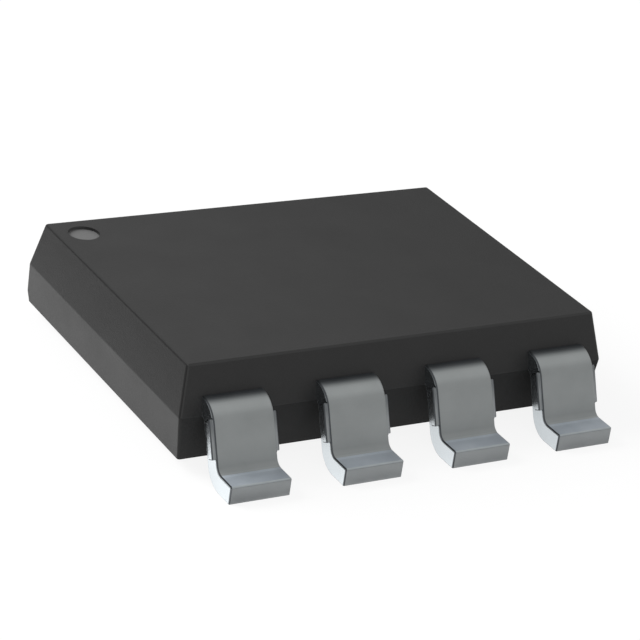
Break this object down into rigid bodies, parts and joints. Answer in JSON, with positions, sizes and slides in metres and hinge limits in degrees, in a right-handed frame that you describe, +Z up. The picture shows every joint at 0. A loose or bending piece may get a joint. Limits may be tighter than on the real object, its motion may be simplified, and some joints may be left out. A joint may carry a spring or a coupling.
{
  "type": "power mosfet",
  "caption": "Flat black moulded power transistor for surface mounting: gull-wing source and gate leads along one side, bare drain plate underneath with its tab at the rear.",
  "frame": {"origin": "middle of the footprint on the board surface", "axes": "+Z up from the board, +X along the row of leads from the first lead to the gate lead, leads point to -Y, drain tab to +Y"},
  "size_m": [0.005, 0.0048, 0.0011],
  "materials": {
    "mould_compound": "fine-grained moulded epoxy, black",
    "tinned_leads": "matte tin plating on copper",
    "tinned_plate": "matte tin plating on copper",
    "silicon": "sawn and polished silicon",
    "solder": "reflowed solder"
  },
  "bodies": {
    "root": {"moulded_body": "mould_compound", "drain_plate": "tinned_plate", "chip_solder": "solder", "silicon_chip": "silicon", "source_solder": "solder", "source_clip": "tinned_leads", "gate_solder": "solder", "gate_lead": "tinned_leads"}
  },
  "joints": []
}
